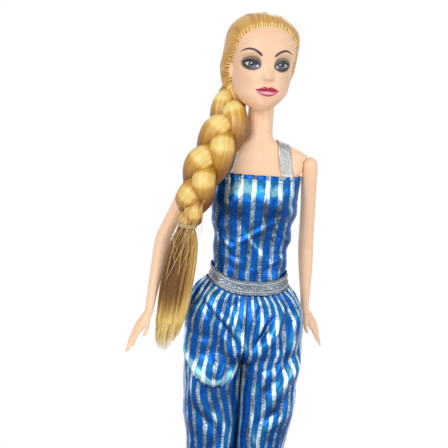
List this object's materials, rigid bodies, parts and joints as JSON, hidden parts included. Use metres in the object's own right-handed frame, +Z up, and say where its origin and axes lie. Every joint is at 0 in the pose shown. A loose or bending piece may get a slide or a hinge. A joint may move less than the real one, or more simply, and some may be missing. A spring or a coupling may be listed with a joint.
{
  "type": "fashion doll",
  "caption": "Fashion doll with a side braid, in a strapped trouser suit of striped foil cloth with a ribbon belt, on wedge shoes.",
  "frame": {"origin": "on the surface that the soles stand on, at the centre of the bounding box", "axes": "+Z up through the doll's height, +X to the doll's left, and the doll faces -Y, the shortest way"},
  "size_m": [0.0892, 0.0396, 0.2929],
  "materials": {
    "skin": "soft satin vinyl with painted features on the face",
    "hair": "glossy nylon fibre, golden blonde",
    "elastic": "clear rubber band",
    "inner": "plain moulded plastic",
    "foil_cloth": "metallic foil cloth with blue and silver stripes",
    "silver_ribbon": "silver metallic woven ribbon",
    "hook_and_loop": "matt hook and loop tape",
    "shoe": "pale silver moulded plastic"
  },
  "bodies": {
    "torso": {"torso_front": "skin", "torso_back": "skin", "neck_knob": "inner", "hip_spindle": "inner", "braid_lock_1": "hair", "braid_lock_2": "hair", "braid_lock_3": "hair", "braid_elastic": "elastic", "hair_tail": "hair", "left_trouser_seat": "foil_cloth", "right_trouser_seat": "foil_cloth", "left_strap": "silver_ribbon", "right_strap": "silver_ribbon", "belt": "silver_ribbon", "bodice_front": "foil_cloth", "bodice_back_left": "foil_cloth", "bodice_back_right": "foil_cloth", "closure_loop_strip": "hook_and_loop", "closure_hook_strip": "hook_and_loop"},
    "head": {"head": "skin", "hair_cap": "hair"},
    "left_peg": {"left_shoulder_peg": "inner"},
    "left_arm": {"left_arm": "skin"},
    "left_leg": {"left_leg": "skin", "left_shoe": "shoe", "left_trouser_leg": "foil_cloth", "left_cuff": "foil_cloth"},
    "right_peg": {"right_shoulder_peg": "inner"},
    "right_arm": {"right_arm": "skin"},
    "right_leg": {"right_leg": "skin", "right_shoe": "shoe", "right_trouser_leg": "foil_cloth", "right_cuff": "foil_cloth"}
  },
  "joints": [
    {"name": "neck_turn", "type": "hinge", "parent": "torso", "child": "head", "pos_m": [0.00787, 0.00157, 0.25], "axis": [0, 0, 1], "range_deg": [-80, 60], "deforming": ["braid_lock_1", "braid_lock_2", "braid_lock_3"]},
    {"name": "left_shoulder_swing", "type": "hinge", "parent": "torso", "child": "left_peg", "pos_m": [0.03136, 0.00157, 0.227], "axis": [-1, 0, 0], "continuous": true},
    {"name": "left_arm_raise", "type": "hinge", "parent": "left_peg", "child": "left_arm", "pos_m": [0.03136, 0.00157, 0.227], "axis": [0, -0.9397, -0.342], "range_deg": [0, 75]},
    {"name": "left_hip_swing", "type": "hinge", "parent": "torso", "child": "left_leg", "pos_m": [0.00787, 0.00157, 0.152], "axis": [-1, 0, 0], "range_deg": [-20, 90], "deforming": ["left_trouser_seat", "left_trouser_leg"]},
    {"name": "right_shoulder_swing", "type": "hinge", "parent": "torso", "child": "right_peg", "pos_m": [-0.01563, 0.00157, 0.227], "axis": [-1, 0, 0], "continuous": true, "deforming": ["hair_tail", "braid_elastic"]},
    {"name": "right_arm_raise", "type": "hinge", "parent": "right_peg", "child": "right_arm", "pos_m": [-0.01563, 0.00157, 0.227], "axis": [0, 1, 0], "range_deg": [-20, 55]},
    {"name": "right_hip_swing", "type": "hinge", "parent": "torso", "child": "right_leg", "pos_m": [0.00787, 0.00157, 0.152], "axis": [-1, 0, 0], "range_deg": [-20, 90], "deforming": ["right_trouser_seat", "right_trouser_leg"]}
  ]
}
